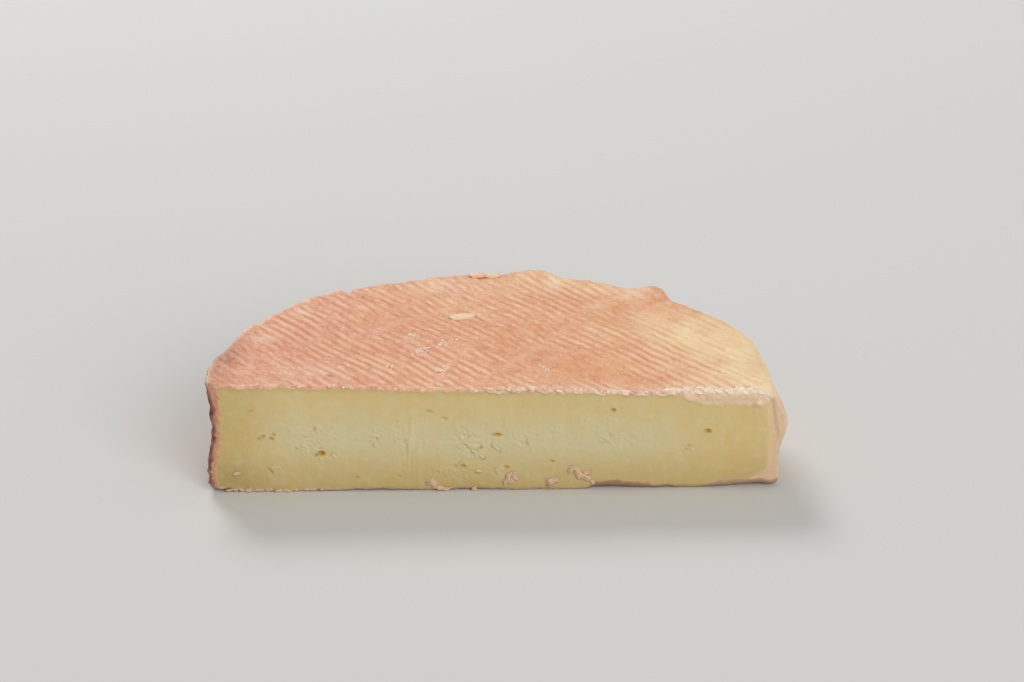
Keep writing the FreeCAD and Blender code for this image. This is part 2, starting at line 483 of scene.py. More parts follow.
def cut_distance(strip, x, z):
    """How far a point of the cut lies inside its outline."""
    right = np.interp(z, strip[:, 0, 2], strip[:, 0, 0])
    left = np.interp(z, strip[:, -1, 2], strip[:, -1, 0])
    top = top_height(x, np.zeros_like(x))
    return least(right - x, x - left, z, top - z)


# ---- relief
def wander(x, y, z, size, seed):
    """Smooth noise with features of about a size, from about -1 to 1."""
    shift = 31.7 * seed
    at = np.column_stack([x / size + shift, y / size - shift, z / size + 0.37 * shift])
    return 1.6 * np.array([noise.noise(point) for point in at.tolist()])


def along_across(x, y):
    """Position along and across the mat ridges."""
    return turned(x, y, -RIDGE_ANGLE)


def off_line(u, v, line):
    """Distance of points from a straight stretch."""
    from_u, from_v, to_u, to_v = line
    run = (to_u - from_u) ** 2 + (to_v - from_v) ** 2
    share = np.clip(((u - from_u) * (to_u - from_u) + (v - from_v) * (to_v - from_v)) / run, 0.0, 1.0)
    return np.hypot(u - from_u - share * (to_u - from_u), v - from_v - share * (to_v - from_v))


def ridge_pattern(x, y):
    """Groove depth, where the grooves are red (partly the rind's own colour, partly painted shade), the
    ridges' strength, and the smooth seams between them.
    """
    flat = np.zeros_like(x)
    along, across = along_across(x, y)
    stray = RIDGE_WANDER * wander(x, y, flat, 22.0, 1) + 0.16 * wander(x, y, flat, 5.5, 2)
    valley = 0.5 + 0.5 * np.cos(2.0 * math.pi * (across + stray) / RIDGE_PITCH)
    # the red line in the grooves: partly the rind's own colour, partly painted shade on the slopes
    red_and_painted_shade = 0.5 + 0.5 * np.cos(2.0 * math.pi * (across + stray - SHADE_SHIFT) / RIDGE_PITCH)
    dashes = 0.7 * wander(along, 1.5 * across, flat, 4.4, 3)
    dashes += 0.5 * wander(along, 1.6 * across, flat, 9.0, 30)
    lines = 0.15 + 0.6 * wander(along, 2.6 * across, flat, 13.0, 34)
    lens = dashes + (lines - dashes) * smooth(x, 5.0, 35.0)
    strength = 0.54 + 1.00 * lens + 0.30 * wander(x, y, flat, 1.9, 4)
    for area in RIDGE_AREAS:
        strength = strength + oval(along, across, area)
    stripe = flat
    bent = along + 1.4 * wander(x, y, flat, 6.0, 5)
    for from_u, from_v, to_u, to_v, half_width, loss in STRIPES:
        away = off_line(bent, across, (from_u, from_v, to_u, to_v))
        stripe = np.maximum(stripe, loss * bell(away, 1.3 * half_width))
    strength = np.clip(strength, 0.05, 1.7) * (1.0 - stripe)
    return valley * strength, red_and_painted_shade * strength, strength, stripe


def marks(u, v, places):
    """The strongest of several soft oval marks."""
    total = np.zeros_like(u)
    for place in places:
        total = np.maximum(total, oval(u, v, place))
    return total


def hole_marks(x, z):
    """Depth of the holes in the cut, and how far their walls are stained."""
    depth, stain = np.zeros_like(x), np.zeros_like(x)
    for middle_x, middle_z, half_u, half_v, tilt, deep, dye in HOLES:
        u, v = turned(x - middle_x, z - middle_z, -math.radians(tilt))
        away = np.hypot(u / half_u, v / half_v)
        depth = np.maximum(depth, 0.7 * deep * fall(away, 0.3, 1.05))
        stain = np.maximum(stain, dye * fall(away, 0.5, 1.6))
    return depth, stain


def torn(x, y, z, size, seed):
    """Sharp-crested noise, like a torn or crumbly surface, from 0 to about 1."""
    return 1.0 - np.abs(wander(x, y, z, size, seed))


def top_relief(x, y, inside):
    """Rise of the top, and what its rind looks like."""
    flat = np.zeros_like(x)
    groove, red_and_painted_shade, strength, stripe = ridge_pattern(x, y)
    fade = smooth(inside, 0.8, 5.0)
    pit, patch = marks(x, y, TOP_PITS), marks(x, y, TOP_PATCHES)
    rise = RIDGE_DEPTH * fade * (0.40 * strength - groove) + 0.10 * stripe * fade
    rise += 0.20 * wander(x, y, flat, 6.0, 6) + 0.11 * wander(x, y, flat, 1.7, 7)
    crust = torn(x, y, flat, 1.5, 8) - 0.6
    rise += 0.34 * patch * crust - 0.7 * pit
    torn_edge = 0.45 + 0.55 * smooth(x, -12.0, 12.0)
    near_cut = bell(y - 0.7, 1.5)
    ribbon = smooth(wander(x, flat, flat, 3.6, 9), -0.35, 0.35)
    rise += near_cut * torn_edge * (0.45 * ribbon + 0.50 * wander(x, y, flat, 1.3, 10))
    rise -= 0.35 * bell(y, 0.5)
    from_notch = np.degrees(np.arctan2(y - CUT_OFFSET, x)) - NOTCH_ANGLE
    rise -= 2.2 * bell(from_notch, 0.75) * bell(inside, 2.6)
    rise += 0.8 * bell(from_notch - 2.2, 1.2) * bell(inside, 2.2)
    shoulder = bell(inside - 1.0, 1.6)
    rise += shoulder * (0.30 * wander(x, y, flat, 4.2, 11) + 0.12 * wander(x, y, flat, 1.6, 12))
    speckle = smooth(wander(x, y, flat, 1.5, 37), -0.5, 0.5)
    pale = unit(0.14 * stripe + patch + near_cut * torn_edge * speckle * (0.5 + 0.65 * ribbon))
    # a pale line along the rim edge, over the left of the top: painted rim light, as if the edge caught light
    # from behind
    shoulder_painted_rim_light = 0.70 * bell(inside - 0.4, 1.1) * smooth(-x, -10.0, 45.0)
    cut_bloom = peak(0.30 * bell(y, 6.0) * smooth(x, 5.0, 25.0), 0.60 * bell(y, 4.0) * smooth(x, 55.0, 64.0))
    pale = peak(pale, shoulder_painted_rim_light, cut_bloom, oval(x, y, (-15.0, 86.0, 20.0, 7.0, 0.24)))
    wet = near_cut * smooth(x, 48.0, 62.0)
    # darker in the pits and towards the left end, and painted shade at the places near the rim
    dirt_and_painted_shade = np.maximum(pit, 0.24 * smooth(-x, 74.0, 90.0))
    for mark in RIM_PAINTED_SHADE:
        dirt_and_painted_shade += oval(x, y, mark)
    # groove: the grooves' red, partly painted shade; crest: pale crests, partly bloom and partly painted
    # highlight
    crest_bloom_and_painted_highlight = unit(fade * (strength - red_and_painted_shade) * smooth(strength, 0.2, 1.0))
    return rise, {"groove": red_and_painted_shade * fade, "crest_bloom_and_painted_highlight": crest_bloom_and_painted_highlight, "pale": pale, "dirt_and_painted_shade": dirt_and_painted_shade, "wet": wet}


def rim_relief(x, y, z):
    """Swelling of the rim, outwards."""
    left, right = smooth(-x, 60.0, 84.0) * bell(y, 26.0), smooth(x, 60.0, 84.0) * bell(y, 26.0)
    swell = 0.40 * wander(x, y, z, 13.0, 13)
    swell += (0.22 + 0.26 * left - 0.14 * right) * wander(x, y, 1.5 * z, 4.6, 14)
    swell += (0.08 + 0.22 * left) * wander(x, y, z, 1.7, 15)
    from_notch = np.degrees(np.arctan2(y - CUT_OFFSET, x)) - NOTCH_ANGLE
    swell -= 1.8 * bell(from_notch, 0.8) * smooth(z, 0.72 * MID_HEIGHT, MID_HEIGHT)
    swell += 0.6 * bell(from_notch - 2.0, 1.1) * smooth(z, 0.72 * MID_HEIGHT, MID_HEIGHT)
    swell += 0.6 * left * bell(z - 17.0, 10.0)
    swell *= smooth(z, 0.0, 3.0)
    blotch = unit(0.5 + 0.7 * wander(x, y, z, 7.0, 16) + 0.5 * wander(x, y, z, 2.2, 36))
    dirt_and_painted_shade = 0.75 * left * smooth(-x + 0.3 * y, 60.0, 84.0) * (0.45 + 0.55 * blotch)
    dirt_and_painted_shade += 0.06 * blotch * (1.0 - right)
    band = smooth(x, 70.0, 84.0) * bell(y, 9.0) * fall(z, 27.0, 33.0)
    return swell, {"dirt_and_painted_shade": dirt_and_painted_shade, "pale": 0.22 * (1.0 - blotch) * (1.0 - left), "band": band}


def edge_lift(x):
    """How far the foot of the cut stands off the floor."""
    flat = np.zeros_like(x)
    lift = 0.28 + 0.40 * wander(x, flat, flat, 11.0, 17) + 0.20 * wander(x, flat, flat, 3.0, 18)
    lift += 0.8 * smooth(-x, 74.0, 86.0) + 0.5 * bell(x - 36.0, 4.0) + 1.2 * smooth(x, 66.0, 86.0)
    return np.clip(lift, 0.0, 2.6)


def base_relief(x, y, inside):
    """Rise of the base: mat grooves, and a foot that curls up along the cut."""
    groove = ridge_pattern(-x, y)[0] * smooth(inside, 0.8, 5.0)
    rise = 0.35 * groove * smooth(y, 0.5, 4.0) + edge_lift(x) * bell(y, 4.5)
    return rise, {"groove": groove, "dirt_and_painted_shade": np.full_like(x, 0.4)}


def cut_relief(x, z, ends):
    """Hollows of the cut, and how its paste and its rind look. The ends are its left and right edges."""
    flat = np.zeros_like(x)
    top_here = top_height(x, flat)
    from_left, from_right, from_top, from_base = x - ends[0], ends[1] - x, top_here - z, z
    depth, stain = hole_marks(x, z)
    tear = marks(x, z, TEARS)
    torn_edge = 0.45 + 0.55 * smooth(x, -12.0, 12.0)
    ragged, fray = wander(x, flat, z, 2.8, 20), wander(x, flat, z, 1.2, 21)

    chalk = smooth(x, -80.0, -62.0) * fall(x, 46.0, 76.0)
    centre = 18.0 - 0.02 * x + 0.8 * wander(x, flat, flat, 22.0, 19)
    chalk *= bell(z - centre, 9.0) ** 0.8

    # where the rind shows on the cut: a thin line at the top, smeared down at the right, a band at each end
    smear = smooth(x, 57.0, 70.0) * fall(x, 86.0, 90.0)
    line_top = 0.5 + 0.35 * ragged + 0.3 * torn_edge + (3.1 + 0.2 * ragged) * smear
    line_left = 2.3 + 0.45 * ragged + 0.25 * fray + 0.8 * smooth(z, 27.0, 34.0)
    line_right = 3.2 + 2.2 * bell(z - 22.0, 7.0) + 8.0 * bell(z - 1.0, 4.0) + 0.4 * ragged
    line_base = 0.4 + 0.5 * smooth(-x, 30.0, 50.0) + 0.5 * ragged
    line_base += 2.4 * smooth(x, 31.0, 34.0) * fall(x, 40.0, 66.0)
    line_base += 2.0 * smooth(x, 64.0, 72.0)
    rind_top = fall(from_top - line_top, -0.35 - 1.2 * smear, 0.35 + 1.3 * smear)
    rind_left = fall(from_left - line_left, -0.5, 0.5)
    rind_right = fall(from_right - line_right, -2.2, 1.8)
    rind_base = fall(from_base - line_base, -0.5, 0.5)
    rind = peak(0.85 * rind_top, rind_left, rind_right, 0.85 * rind_base)

    strokes = wander(x * 9.0, flat, z, 9.0, 22)
    scratch = marks(x, z, ((-25.6, 17.5, 3.2, 7.5, 1.0), (-57.5, 14.0, 2.6, 5.0, 0.5)))
    inward = 0.13 * wander(x, flat, z, 16.0, 23) + 0.05 * wander(x, flat, 1.8 * z, 4.0, 24)
    inward += 0.018 * strokes + 0.34 * scratch * strokes + depth
    flakes = torn(x, flat, 1.5 * z, 1.9, 25) - 0.55
    inward -= tear * (0.55 * flakes + 0.30 * wander(x, flat, z, 0.9, 26))
    inward += 0.06 * chalk * wander(x, flat, z, 1.1, 27)
    inward -= rind_top * torn_edge * (1.0 - 0.8 * smear) * (0.18 + 0.30 * ragged + 0.22 * fray)
    inward -= smear * (0.22 * bell(from_top - 2.3, 1.6) + 0.08 * bell(from_top - line_top + 0.4, 1.3))
    inward += 0.35 * smear * bell(from_top - 0.9, 0.5)
    drop = oval(x, z, (*DROP, 1.3, 1.0, 1.0))
    inward -= 0.7 * drop
    inward -= rind_left * (0.14 + 0.30 * ragged + 0.22 * fray)
    crease = from_right - 0.6 - 2.3 * bell(z - 23.0, 6.0)
    inward += 1.3 * fall(crease, -2.6, 0.8) * smooth(z, 2.0, 9.0)
    inward += 0.40 * bell(crease - 0.4, 0.7) * smooth(z, 14.0, 20.0)
    edge = least(from_top, from_base, from_left, from_right)
    inward += 0.35 * bell(edge, 0.6) + 0.8 * bell(from_base, 0.9) * smooth(x, 30.0, 34.0)

    pale = 0.85 * torn_edge * rind_top * (0.6 + 0.4 * ragged)
    pale *= 1.0 - 0.8 * smear * smooth(from_top, 0.6, 1.2)
    pale += 0.60 * smear * bell(from_top - line_top + 0.2, 0.9)
    # the bead's pale halo is a painted highlight
    pale = peak(pale, 0.9 * drop, 0.5 * rind_base * fall(x, 24.0, 31.0))
    dirt_and_painted_shade = rind_base * (0.45 + 0.25 * bell(x - 38.0, 12.0)) * smooth(x, 29.0, 33.0)
    left_dirt = fall(from_left + 0.4 * fray, 0.6, 1.9) * (0.85 + 0.35 * ragged)
    # painted shade along the crease of the right rind band
    crease_painted_shade = 0.20 * bell(crease - 0.4, 0.8) * smooth(z, 14.0, 20.0)
    dirt_and_painted_shade = peak(dirt_and_painted_shade, left_dirt, 0.26 * rind_left, crease_painted_shade)
    # a warm tone next to the rind, and painted shade that darkens the paste towards its left end, towards the
    # floor and in its lower corners
    near_rind = least(from_top, from_left + 2.0, from_right + 1.0)
    flush_and_painted_shade = 0.40 * bell(near_rind, 1.8) * (1.0 - 0.7 * smooth(x, 10.0, 40.0))
    flush_and_painted_shade += 0.60 * smooth(-x, 62.0, 88.0)
    flush_and_painted_shade += 0.52 * fall(z, 1.0, 17.0)
    flush_and_painted_shade += oval(x, z, (-86.0, 3.0, 8.0, 7.0, 0.25))
    flush_and_painted_shade += 0.20 * bell(z, 3.0) + 0.10 * smooth(x, 74.0, 88.0) * fall(z, 10.0, 24.0)
    band = peak(rind_right, 0.45 * rind_left, rind_base, smear * smooth(from_top, 0.6, 1.4))
    facts = {"rind": rind, "chalk": unit(chalk + 0.35 * tear), "stain": stain, "pale": pale,
             "dirt_and_painted_shade": dirt_and_painted_shade, "wet": np.maximum(drop, 0.6 * smear * rind_top), "flush_and_painted_shade": flush_and_painted_shade,
             "band": band}
    return inward, facts


# What the materials are told about each point, and how far behind each side its relief reaches
FACTS = ("rind", "groove", "crest_bloom_and_painted_highlight", "pale", "white_and_glint", "cream", "orange", "rosy", "ruddy", "dirt_and_painted_shade", "chalk",
         "stain", "wet", "flush_and_painted_shade", "band")
REACH = {"top": 1.8, "rim": 2.2, "base": 4.0, "cut": 1.8}


def relief(body, strip):
    """Moves the outer points to the uneven surface, and gives what the materials need to know."""
    x, y, z = body.points.T
    angle = angle_at(x, y)
    height = top_height(x, y)
    inside = rim_radius(angle, z / height) - np.hypot(x, y - CUT_OFFSET)
    outer = body.on("rim", "top", "base", "band", "paste") > 0
    gaps = {"top": height - z, "rim": inside, "base": z, "cut": y}
    know = {name: np.zeros(len(x)) for name in FACTS}
    move = np.zeros((len(x), 3))
    for side, gap in gaps.items():
        near = bell(np.maximum(gap, 0.0), REACH[side]) * outer
        some = np.nonzero(near > 0.02)[0]
        px, py, pz, weight = x[some], y[some], z[some], near[some]
        if side == "top":
            push, facts = top_relief(px, py, inside[some])
            move[some, 2] += weight * push
        elif side == "base":
            push, facts = base_relief(px, py, inside[some])
            move[some, 2] += weight * push
        elif side == "rim":
            push, facts = rim_relief(px, py, pz)
            move[some, 0] += weight * push * np.cos(angle[some])
            move[some, 1] += weight * push * np.sin(angle[some])
        else:
            ends = [np.interp(pz, strip[:, end, 2], strip[:, end, 0]) for end in (-1, 0)]
            push, facts = cut_relief(px, pz, ends)
            move[some, 1] += weight * push
        sharp = bell(np.maximum(gap[some], 0.0), 0.5)
        for name, values in facts.items():
            know[name][some] = np.maximum(know[name][some], sharp * values)
    on_cut = body.on("band", "paste") > 0
    on_rind = body.on("rim", "top", "base") > 0
    know["rind"][on_rind] = 1.0
    low_cut = on_cut & ~on_rind & (z > 0.0)
    know["groove"][low_cut] = 0.0

    know["rosy"] = unit(smooth(-x, 0.0, 80.0) + 0.30 * wander(x, y, z, 12.0, 32))
    for tone, (ovals, noisy, size, seed) in TONES.items():
        total = sum(oval(x, y, mark) for mark in ovals)
        know[tone] = unit(total + noisy * wander(x, y, z, size, seed))
    points = body.points + move
    points[outer, 2] = np.maximum(points[outer, 2], 0.0)
    return points, know


# ---- meshes
def put(name, data):
    """A new object in the scene."""
    thing = bpy.data.objects.new(name, data)
    bpy.context.scene.collection.objects.link(thing)
    return thing


def to_frame(points):
    """From the cheese's own millimetres to the frame's metres."""
    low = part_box("half_wheel")[0]
    turns = np.linspace(0.5 * math.pi, 1.1 * math.pi, 60)
    shares = np.linspace(0.0, 1.0, 30)
    reach = max(float((-rim_radius(turns, share) * np.cos(turns)).max()) for share in shares)
    origin = np.array([low.x + reach * MM, low.y, low.z])
    return np.asarray(points) * MM + origin


def make_piece(name, points, faces, material, know, normals=None):
    """A smooth mesh piece with its facts stored on its points, and the normals given for its points."""
    used, renumbered = np.unique(np.concatenate([part.ravel() for part in faces]), return_inverse=True)
    mesh = bpy.data.meshes.new(name)
    corners, start = [], 0
    for part in faces:
        corners += renumbered[start:start + part.size].reshape(part.shape).tolist()
        start += part.size
    mesh.from_pydata(to_frame(points[used]).tolist(), [], corners)
    mesh.polygons.foreach_set("use_smooth", [True] * len(mesh.polygons))
    for fact, values in know.items():
        layer = mesh.attributes.new(fact, "FLOAT", "POINT")
        layer.data.foreach_set("value", values[used].astype(np.float32))
    mesh.materials.append(material)
    mesh.update()
    if normals is not None:
        mesh.normals_split_custom_set_from_vertices(normals[used].tolist())
    piece = put(name, mesh)
    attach(piece, "root")
    return piece


# ---- crumbs
class Crumbs:
    """Many small lumps in one mesh."""

    def __init__(self):
        self.points, self.faces, self.looks = [], [], []

    def add(self, middle, halves, look, tilt=0.0, lean=0.0, square=1.0, rough=0.45, level=2):
        """A lump with half sizes, tilted in the plane of the cut and leaning in plan, both in degrees."""
        ball = bmesh.new()
        bmesh.ops.create_icosphere(ball, subdivisions=level, radius=1.0)
        form = np.array([vert.co for vert in ball.verts])
        faces = np.array([[vert.index for vert in face.verts] for face in ball.faces])
        ball.free()
        seed = 40 + len(self.points)
        lumpy = 1.0 + rough * (wander(*form.T, 0.8, seed) + 0.5 * wander(*form.T, 0.35, seed))
        form = np.sign(form) * np.abs(form) ** square * lumpy[:, None] * np.array(halves)
        for angle, first, second in ((tilt, 0, 2), (lean, 0, 1)):
            both = turned(form[:, first], form[:, second], math.radians(angle))
            form[:, first], form[:, second] = both
        self.faces.append(faces + sum(len(part) for part in self.points))
        self.points.append(form + np.array(middle))
        self.looks += [look] * len(form)

    def make(self, name, material, slot):
        points = np.vstack(self.points)
        points[:, 2] = np.maximum(points[:, 2], 0.02)
        know = {fact: np.array([look.get(fact, 0.0) for look in self.looks]) for fact in FACTS}
        return make_piece(name, points, [np.vstack(self.faces)], material, know)


# Crumbs of rind on the cut: x, z, half length, half height, tilt in degrees
RIND_CRUMBS = (
    (26.1, 7.3, 1, 0.8, 20), (27.4, 6.9, 1.1, 0.9, -30), (28.5, 5.5, 1.1, 0.9, -40),
    (29.5, 5.1, 0.8, 0.6, 0), (30.6, 6, 0.9, 0.5, 40), (31, 3.9, 1.1, 0.6, -50),
    (32.5, 2.8, 0.8, 0.4, -40), (19.9, 2.8, 1.5, 0.9, 10), (18.9, 3.4, 0.7, 0.5, 0),
    (20.9, 3.3, 0.6, 0.4, 30), (8, 6, 0.8, 0.6, 10), (7.9, 4.8, 0.6, 0.9, 0),
    (6.5, 5.4, 0.9, 0.6, 30), (5.9, 4.3, 0.6, 0.9, -20), (5.3, 3.3, 0.8, 0.6, 20),
    (6.9, 3.5, 0.9, 0.7, 0), (-18.4, 2.9, 1.2, 0.9, -20), (-17.6, 2, 0.9, 0.5, -50),
    (-16, 1.1, 1.2, 0.5, -20), (-14.2, 0.7, 1.4, 0.4, -10), (-5, 0.3, 0.6, 0.8, 0),
    (-67, 0.6, 1.4, 0.4, 10), (-64.6, 0.5, 1, 0.4, -20), (-77, 0.8, 0.8, 0.4, 0),
    (-80.6, 6.4, 0.8, 0.35, 30),
)
# Crumbs and shavings of paste on the cut
PASTE_CRUMBS = (
    (-8.9, 9.8, 0.8, 0.5, 20), (-3.6, 6.8, 1.1, 0.5, -10), (2.3, 7.3, 0.7, 0.3, 0),
    (-49.2, 12.3, 1.5, 0.5, -35), (-68.2, 8.7, 1.7, 0.4, 5), (-4.4, 13.4, 1.3, 0.5, -25),
    (-2.4, 11.9, 1.5, 0.6, -30), (2.2, 14.9, 2.1, 0.5, -38), (-36.2, 16.2, 0.5, 0.8, 0),
    (-62.2, 21.2, 0.9, 0.3, 15), (-60, 15.2, 1.1, 0.4, 0), (-54.6, 21.8, 1.1, 0.3, 15),
    (-58, 19.6, 0.6, 0.6, 0), (-53.2, 11.5, 1, 0.4, 0), (12.2, 17.2, 0.7, 0.4, 30),
    (37.2, 17, 1.1, 0.3, 20), (39.2, 18.9, 0.9, 0.3, -20), (62.6, 13.6, 0.8, 0.3, 0),
    (-9.6, 15.2, 0.8, 0.4, -45), (-6.4, 18.2, 0.6, 0.4, 20),
)
# White flecks on the top, partly real flecks and partly glints painted as white lumps: x, y, half length,
# half width
TOP_FLECKS_AND_GLINTS = (
    (-26.1, 43.2, 0.9, 0.6), (-25.6, 41.4, 0.7, 0.5), (-15, 37.4, 0.9, 0.6), (-16.2, 35.6, 0.8, 0.6),
    (-23, 29.4, 1, 0.6), (-24.3, 26.2, 0.9, 0.5), (-20, 32.4, 0.9, 0.6), (-21.6, 31, 0.7, 0.5),
    (-11.8, 38.6, 0.6, 0.5), (-13.6, 18.6, 0.8, 0.5), (-15.6, 15.6, 0.8, 0.5), (-31.8, 16.9, 0.7, 0.5),
    (74.6, 16.2, 0.8, 0.6), (18.5, 15, 0.7, 0.5), (16.5, 18.5, 0.6, 0.5), (62.5, 3.7, 0.6, 0.5),
    (64.8, 4.6, 0.5, 0.4), (68, 3, 0.6, 0.5), (73.8, 3.2, 0.6, 0.5), (77.3, 4.2, 0.5, 0.4),
    (81.6, 4.4, 0.6, 0.4),
)
# Pale flakes lying on the top: x, y, half length, half width, and how high they lie
FLAKES = (
    (-10.3, 60.5, 4.2, 2.6, 0), (-6.5, 95.6, 2.8, 1.4, 0.5), (-1.5, 95.9, 2.6, 1.2, 0.3),
)
# Looks of the crumbs, by their facts
DRY_CRUMB = {"rind": 1.0, "band": 0.7, "cream": 0.9, "dirt_and_painted_shade": 0.15}
# a white lump that paints the glint of the wet bead, and small white lumps that paint glints on the top
PAINTED_GLINT_BEAD = {"rind": 1.0, "white_and_glint": 1.0, "wet": 0.8}
GLINT = {"rind": 1.0, "cream": 0.5, "white_and_glint": 0.7, "wet": 0.5}
CREAM_CRUMB = {"rind": 1.0, "cream": 0.5, "white_and_glint": 0.65, "wet": 1.0}
FLAKE = {"rind": 1.0, "cream": 0.4, "pale": 0.42}
EDGE_CRUMB = {"rind": 1.0, "rosy": 0.3, "pale": 0.9, "wet": 0.4}
PINK_CRUMB = {"rind": 1.0, "rosy": 0.8, "pale": 0.35, "wet": 0.4}
PASTE_CRUMB = {"chalk": 0.9}


def top_at(x, y):
    """Height of the top at one spot, before its relief."""
    return float(top_height(np.array(x), np.array(y)))


def crumble(of_rind, of_paste):
    """The loose bits: rind crumbs on the cut, its torn upper edge, flecks and painted white glints on the
    top, the bead's painted glint, and paste crumbs.
    """
    rind_bits, paste_bits = Crumbs(), Crumbs()
    chance = random.Random(7)
    between = chance.uniform
    for x, z, half_x, half_z, tilt in RIND_CRUMBS:
        for _ in range(3):
            spot = (x + between(-0.4, 0.4) * half_x, -0.1, z + between(-0.3, 0.3) * half_z)
            share = between(0.85, 1.3)
            halves = (share * half_x, 0.4 * half_z + 0.2, share * half_z)
            rind_bits.add(spot, halves, DRY_CRUMB, tilt + between(-30.0, 30.0), rough=0.7, level=3)
    for x, z, half_x, half_z, tilt in PASTE_CRUMBS:
        paste_bits.add((x, 0.0, z), (half_x, 0.3, half_z), PASTE_CRUMB, tilt)
    # the wet bead's glint, painted as a white lump
    rind_bits.add((DROP[0], -0.2, DROP[1]), (1.2, 0.6, 0.8), PAINTED_GLINT_BEAD, rough=0.15, level=3)
    # flecks on the top, partly glints painted as small white lumps
    for x, y, half_x, half_y in TOP_FLECKS_AND_GLINTS:
        height = top_at(x, y)
        for _ in range(5):
            spot = (x + between(-1.2, 1.2), y + between(-1.2, 1.2), height + 0.15)
            share = between(0.3, 0.7)
            rind_bits.add(spot, (share * half_x, share * half_y, 0.4), GLINT, lean=between(0.0, 90.0))
    x = -70.0
    while x < 87.0:
        x += between(0.5, 1.7) if x > TORN_FROM else between(1.0, 3.5)
        height = top_at(x, 0.0)
        y = between(0.2, 1.6) * (2.0 if x > LUMPS_FROM else 1.0)
        z = height - between(0.1, 0.5)
        halves = (between(0.5, 1.5), between(0.5, 0.9), between(0.3, 0.5))
        turns = (between(-12.0, 12.0), between(-40.0, 40.0))
        if x < LUMPS_FROM:
            look = EDGE_CRUMB if chance.random() < 0.6 else PINK_CRUMB
            share = 1.0 if x > TORN_FROM else 0.65
            rind_bits.add((x, y, z), [share * half for half in halves], look, *turns, rough=0.6)
        else:
            halves = (1.2 * halves[0], 1.6 * halves[1], 1.3 * halves[2])
            rind_bits.add((x, y + 0.6, z + 0.2), halves, CREAM_CRUMB, *turns, rough=0.22, level=3)
    x = -85.0
    while x < -52.0:
        x += between(0.9, 2.6)
        halves = (between(0.7, 1.9), 0.4, between(0.3, 0.6))
        spot = (x, 0.4, between(0.5, 0.9))
        rind_bits.add(spot, halves, DRY_CRUMB, between(-20.0, 20.0), rough=0.6)
    for x, y, half_x, half_y, lift in FLAKES:
        height = top_at(x, y)
        rind_bits.add((x, y, height + lift), (half_x, half_y, 0.5), FLAKE,
                      lean=12.0, square=0.6, rough=0.22, level=4)
    rind_bits.make("rind_crumbs", of_rind, "rind")
    paste_bits.make("paste_crumbs", of_paste, "paste")


# ---- materials
def srgb(groove_red_and_painted_shade, green, blue):
    """A colour given as it looks on a screen, from 0 to 255, for a shader."""
    shares = [value / 255.0 for value in (groove_red_and_painted_shade, green, blue)]
    return [s / 12.92 if s <= 0.04045 else ((s + 0.055) / 1.055) ** 2.4 for s in shares] + [1.0]


class Graph:
    """Adds nodes to a material, one for each call, and hands back what they put out."""

    def __init__(self, name):
        self.material = bpy.data.materials.new(name)
        self.material.use_nodes = True
        self.nodes = self.material.node_tree.nodes
        self.links = self.material.node_tree.links
        self.nodes.clear()

    def add(self, kind, inputs=(), output=0, **settings):
        node = self.nodes.new(kind)
        for key, value in settings.items():
            setattr(node, key, value)
        for key, value in dict(inputs).items():
            if isinstance(value, bpy.types.NodeSocket):
                self.links.new(value, node.inputs[key])
            else:
                node.inputs[key].default_value = value
        return node.outputs[output]

    def fact(self, name):
        return self.add("ShaderNodeAttribute", output=2, attribute_name=name)

    def finish(self, shader):
        out = self.nodes.new("ShaderNodeOutputMaterial")
        self.links.new(shader, out.inputs["Surface"])

    def scaled(self, name, most):
        """A fact times a number, kept between nought and one."""
        return self.times(self.fact(name), most, clamp=True)

    def tint(self, base, name, most, *colour):
        """A colour laid over another where a fact says so."""
        return self.mix(self.scaled(name, most), base, srgb(*colour))

    def mix_number(self, share, first, second):
        return self.add("ShaderNodeMix", {0: share, 2: first, 3: second}, data_type="FLOAT")

    def math(self, operation, first, second=0.0, clamp=False):
        return self.add("ShaderNodeMath", {0: first, 1: second}, operation=operation, use_clamp=clamp)

    def times(self, first, second, clamp=False):
        return self.math("MULTIPLY", first, second, clamp)

    def step(self, value, low, high, start=0.0, end=1.0):
        return self.add("ShaderNodeMapRange", {0: value, 1: low, 2: high, 3: start, 4: end})

    def mix(self, share, first, second):
        return self.add("ShaderNodeMix", {0: share, 6: first, 7: second}, output=2, data_type="RGBA")

    def grain(self, size, detail=2.0, stretch=(1.0, 1.0, 1.0), seed=0.0):
        """Noise with features of a size in millimetres."""
        spot = self.add("ShaderNodeTexCoord", output=3)
        scale = [1.0 / (MM * size * part) for part in stretch]
        placed = {"Vector": spot, "Scale": scale, "Location": (seed, -seed, seed)}
        spot = self.add("ShaderNodeMapping", placed)
        noisy = {"Vector": spot, "Scale": 1.0, "Detail": detail, "Roughness": 0.55}
        return self.add("ShaderNodeTexNoise", noisy)


